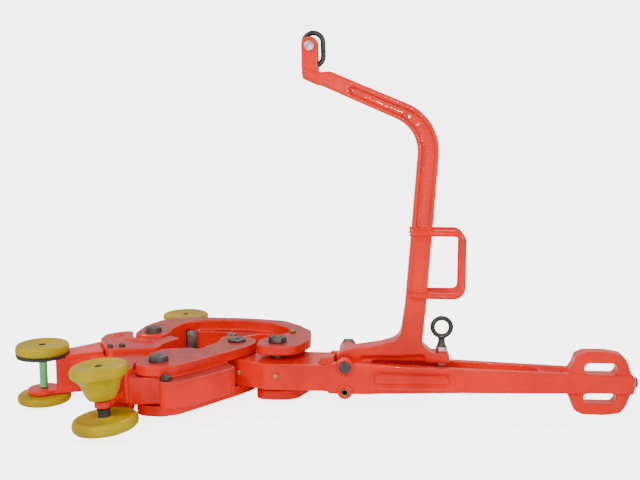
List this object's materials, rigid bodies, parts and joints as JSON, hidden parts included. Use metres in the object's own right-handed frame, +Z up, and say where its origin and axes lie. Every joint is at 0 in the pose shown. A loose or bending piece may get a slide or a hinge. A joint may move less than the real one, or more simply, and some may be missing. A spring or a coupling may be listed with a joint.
{
  "type": "manual rig tong",
  "caption": "Hinged-jaw pipe tong with a tapered slotted lever, guarded spool handles, toothed dies and a tall bent hanger with a suspension ring and a levelling eyebolt.",
  "frame": {"origin": "on the gripped pipe's axis at the jaws' mid-height", "axes": "+X along the lever towards its line slots, +Z up along the pipe, -Y towards the operator's side"},
  "size_m": [1.854, 0.912, 1.1145],
  "materials": {
    "red_enamel": "gloss enamel over rough casting",
    "yellow_paint": "satin",
    "green_grip": "satin",
    "black_rubber": "matt",
    "dark_steel": "blackened",
    "black_steel": "black oxide",
    "zinc_steel": "zinc plated",
    "die_steel": "hardened, machined",
    "brass": "dull"
  },
  "bodies": {
    "lever": {"lever": "red_enamel", "lever_end_bolt": "dark_steel", "hanger_pivot_bolt": "dark_steel", "hanger_pivot_nut": "dark_steel", "spare_pivot_bushing": "brass", "jaw_pin_screws": "brass", "short_jaw_pin": "dark_steel", "long_jaw_pin": "dark_steel", "long_jaw_pin_nut": "dark_steel"},
    "long_jaw": {"long_jaw": "red_enamel", "long_jaw_die_right": "die_steel", "long_jaw_die_left": "die_steel", "latch_hinge_pin": "dark_steel", "long_jaw_grease_cap": "brass", "long_jaw_guard_upper": "yellow_paint", "long_jaw_guard_lower": "yellow_paint", "long_jaw_grip_rod": "zinc_steel"},
    "latch": {"latch": "red_enamel", "latch_die": "die_steel", "latch_fork": "red_enamel", "fork_bolts": "dark_steel", "latch_guard_upper": "yellow_paint", "latch_guard_lower": "yellow_paint", "latch_grip": "green_grip", "latch_grip_rod": "zinc_steel"},
    "short_jaw": {"short_jaw": "red_enamel", "short_jaw_die": "die_steel", "lug_jaw_pin": "dark_steel", "lug_stop_bolt": "dark_steel"},
    "lug_jaw": {"lug_jaw": "red_enamel", "lug_guard_upper": "yellow_paint", "lug_guard_lower": "yellow_paint", "lug_grip": "black_rubber", "lug_grip_rod": "zinc_steel"},
    "hanger": {"hanger": "red_enamel", "front_handle": "red_enamel", "rear_handle": "red_enamel", "ring_lug_plates": "red_enamel", "ring_pin": "zinc_steel", "heel_nut_lower": "zinc_steel"},
    "ring": {"suspension_ring": "black_steel"},
    "locknut": {"heel_nut_upper": "zinc_steel"},
    "level_screw": {"level_eyebolt": "black_steel"}
  },
  "joints": [
    {"name": "hanger_tilt", "type": "hinge", "parent": "lever", "child": "hanger", "pos_m": [0.48, -0.162, 0.038], "axis": [0, -1, 0], "range_deg": [0, 62]},
    {"name": "long_jaw_swing", "type": "hinge", "parent": "lever", "child": "long_jaw", "pos_m": [0.266, -0.139, 0], "axis": [0, 0, -1], "range_deg": [0, 26]},
    {"name": "latch_swing", "type": "hinge", "parent": "long_jaw", "child": "latch", "pos_m": [-0.151, -0.042, 0], "axis": [0, 0, -1], "range_deg": [0, 30]},
    {"name": "short_jaw_swing", "type": "hinge", "parent": "lever", "child": "short_jaw", "pos_m": [0.132, -0.1, 0], "axis": [0, 0, 1], "range_deg": [0, 16]},
    {"name": "lug_jaw_swing", "type": "hinge", "parent": "short_jaw", "child": "lug_jaw", "pos_m": [-0.054, -0.34, 0], "axis": [0, 0, 1], "range_deg": [0, 27]},
    {"name": "ring_swing", "type": "hinge", "parent": "hanger", "child": "ring", "pos_m": [0.37, -0.162, 0.974], "axis": [0, -1, 0], "range_deg": [0, 150]},
    {"name": "locknut_rise", "type": "slide", "parent": "hanger", "child": "locknut", "axis": [0, 0, 1], "range_m": [0, 0.0099]},
    {"name": "level_screw_turn", "type": "hinge", "parent": "locknut", "child": "level_screw", "pos_m": [0.767, -0.162, 0.145], "axis": [0, 0, 1], "range_deg": [0, 1440]}
  ],
  "couplings": [
    {"joint": "latch_swing", "follows": "long_jaw_swing", "ratio": 1},
    {"joint": "short_jaw_swing", "follows": "long_jaw_swing", "ratio": 0.6},
    {"joint": "lug_jaw_swing", "follows": "long_jaw_swing", "ratio": 1},
    {"joint": "level_screw_turn", "follows": "locknut_rise", "rad_per_m": 2513.3}
  ]
}
